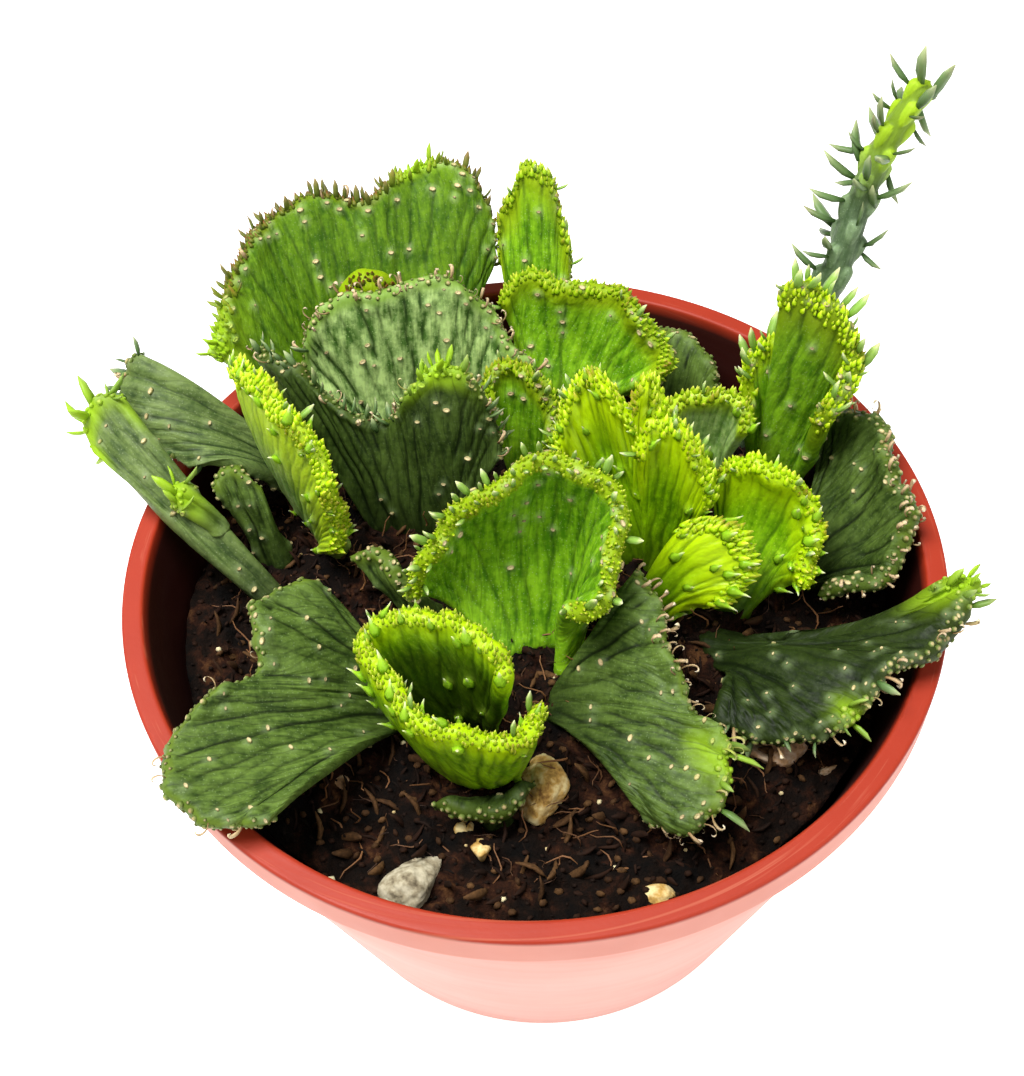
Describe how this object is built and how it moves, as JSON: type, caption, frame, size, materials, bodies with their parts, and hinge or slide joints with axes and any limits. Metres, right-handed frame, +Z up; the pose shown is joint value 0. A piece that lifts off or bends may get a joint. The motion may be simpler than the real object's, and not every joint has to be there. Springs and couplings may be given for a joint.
{
  "type": "potted crested medusa head euphorbia",
  "caption": "Crested medusa head euphorbia: fan-shaped, wavy succulent crests with bright tubercled margins and one finger stem, in soil in a tapered plastic nursery pot.",
  "frame": {"origin": "middle of the pot's flat bottom", "axes": "+Z up along the pot's axis, -Y to the front as seen in the picture, +X to the right"},
  "size_m": [0.1665, 0.1603, 0.1621],
  "materials": {
    "terracotta_plastic": "satin",
    "potting_soil": "rough, damp, fibrous",
    "mineral_chip_cream": "rough, porous",
    "mineral_chip_grey": "rough, porous",
    "mineral_chip_tan": "rough, porous",
    "deep_green_skin": "leathery, slightly waxy",
    "leaf_green_skin": "leathery, slightly waxy",
    "silver_green_skin": "leathery, waxy bloom",
    "olive_green_skin": "leathery, slightly waxy",
    "fresh_green_skin": "fleshy, slightly waxy",
    "lime_skin": "fleshy, slightly waxy"
  },
  "bodies": {
    "root": {"pot": "terracotta_plastic", "soil": "potting_soil", "mineral_chip_1": "mineral_chip_cream", "mineral_chip_2": "mineral_chip_grey", "mineral_chip_3": "mineral_chip_tan", "mineral_chip_4": "mineral_chip_cream", "mineral_chip_5": "mineral_chip_cream", "mineral_chip_6": "mineral_chip_cream", "mineral_chip_7": "mineral_chip_tan", "mineral_chip_8": "mineral_chip_tan", "crest_back": "leaf_green_skin", "crest_back_edge": "leaf_green_skin", "crest_back_edge_margin": "lime_skin", "crest_middle_pale": "silver_green_skin", "crest_middle_waved": "deep_green_skin", "crest_middle_small": "leaf_green_skin", "crest_middle_small_margin": "lime_skin", "crest_back_bright": "leaf_green_skin", "crest_back_bright_margin": "fresh_green_skin", "crest_back_low": "deep_green_skin", "crest_right_short": "fresh_green_skin", "crest_right_tall": "leaf_green_skin", "crest_right_tall_margin": "lime_skin", "crest_middle_bright": "lime_skin", "crest_right_fist": "lime_skin", "crest_right_round": "fresh_green_skin", "crest_right_round_margin": "lime_skin", "crest_right_dark": "deep_green_skin", "crest_right_tongue": "deep_green_skin", "crest_front_right": "deep_green_skin", "crest_front_middle": "leaf_green_skin", "crest_front_middle_margin": "fresh_green_skin", "crest_front_cup": "fresh_green_skin", "crest_front_cup_margin": "lime_skin", "crest_front_low": "deep_green_skin", "crest_front_left": "deep_green_skin", "crest_left_strap": "deep_green_skin", "crest_left_strap_margin": "lime_skin", "crest_left_back": "olive_green_skin", "crest_left_upright": "leaf_green_skin", "crest_left_upright_margin": "lime_skin", "crest_left_inner": "deep_green_skin", "crest_middle_low": "deep_green_skin", "finger_stem": "olive_green_skin"}
  },
  "joints": []
}
